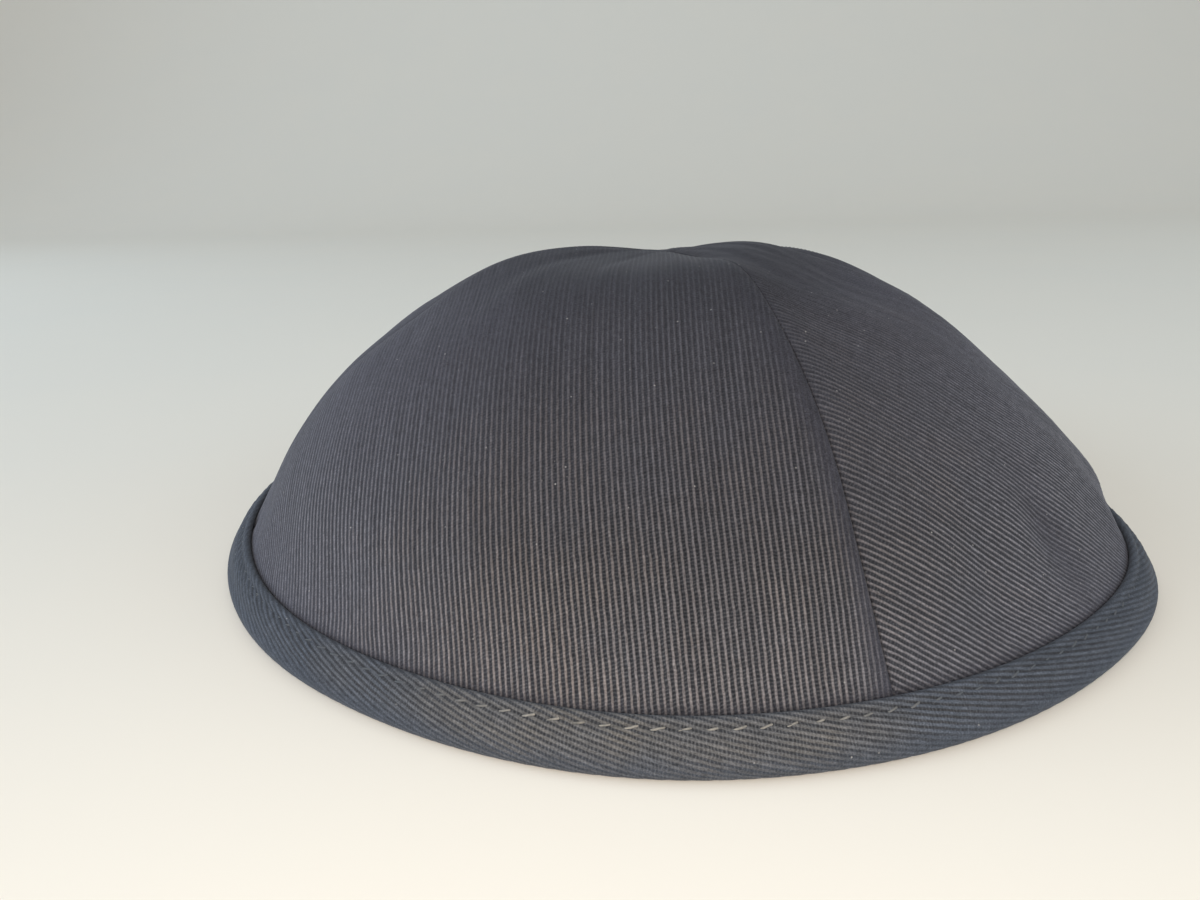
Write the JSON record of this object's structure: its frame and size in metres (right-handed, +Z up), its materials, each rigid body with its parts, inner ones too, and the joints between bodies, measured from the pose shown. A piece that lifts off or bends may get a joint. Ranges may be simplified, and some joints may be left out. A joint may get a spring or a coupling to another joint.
{
  "type": "skullcap",
  "caption": "Low domed cloth skullcap of wedge-shaped twill panels meeting at the crown, with a folded bias binding around the rim.",
  "frame": {"origin": "centre of the rim on the surface that the cap rests on", "axes": "+Z up through the crown, -Y towards the front of the picture, +X to its right"},
  "size_m": [0.17, 0.17, 0.052],
  "materials": {
    "panel_twill": "matt charcoal cotton twill, ribs showing",
    "binding_twill": "matt charcoal cotton twill, cut on the bias"
  },
  "bodies": {
    "root": {"panel_front": "panel_twill", "panel_right": "panel_twill", "panel_back": "panel_twill", "panel_left": "panel_twill", "rim_binding": "binding_twill"}
  },
  "joints": []
}
